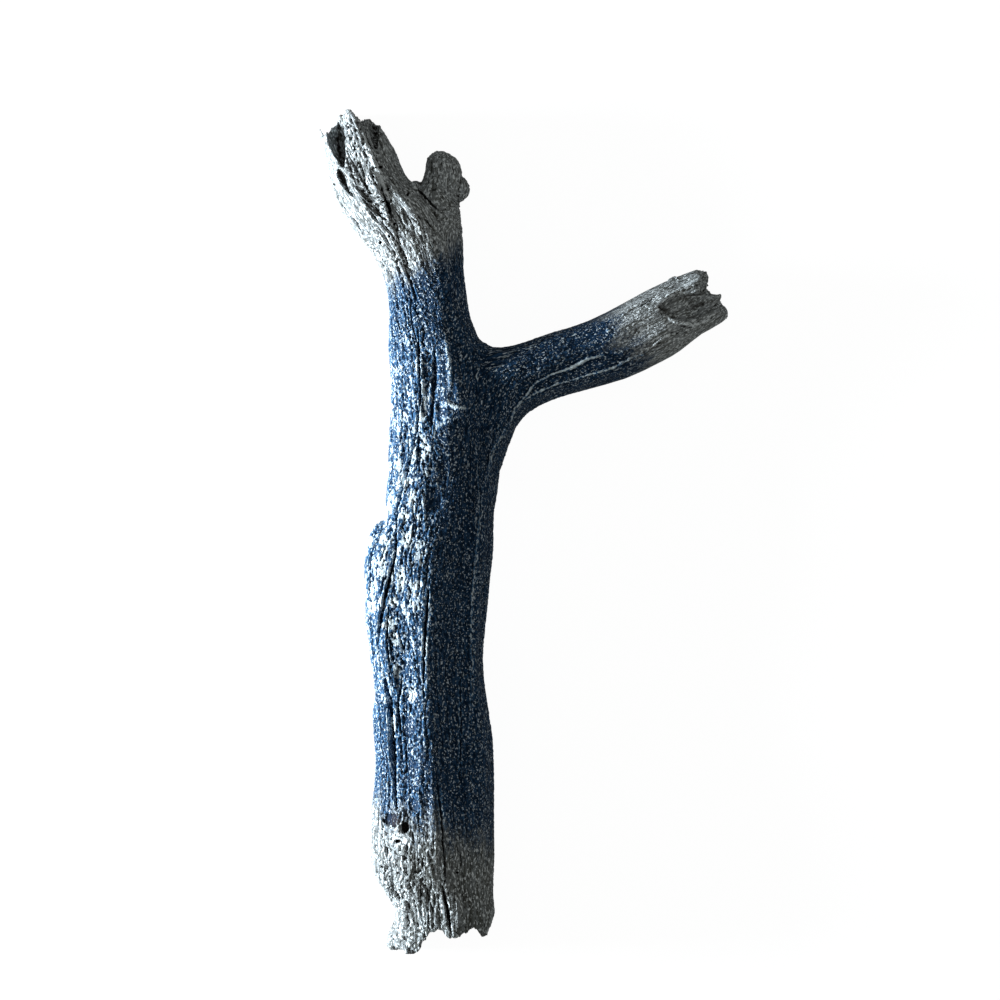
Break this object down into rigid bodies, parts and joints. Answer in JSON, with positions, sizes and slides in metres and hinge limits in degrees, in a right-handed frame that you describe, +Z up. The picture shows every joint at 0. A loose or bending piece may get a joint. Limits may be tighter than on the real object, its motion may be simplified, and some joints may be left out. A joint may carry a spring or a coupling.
{
  "type": "driftwood branch",
  "caption": "Forked piece of driftwood, bare and weathered at its broken ends and painted dark blue in between, lying flat as a display piece.",
  "frame": {"origin": "on the table, under the middle of the whole piece", "axes": "+Y along the trunk from the broken foot to the hollow tip, +X towards the side branch, +Z up from the worn underside"},
  "size_m": [0.1843, 0.3782, 0.0473],
  "materials": {
    "bare_wood": "matt, sun-bleached grey with dark pores and cracks",
    "painted_wood": "dark blue spray paint, half-gloss on the ridges, fading into bare wood towards the ends"
  },
  "bodies": {
    "root": {"trunk": "painted_wood", "upper_limb": "bare_wood", "side_branch": "painted_wood", "knot_stub": "bare_wood"}
  },
  "joints": []
}
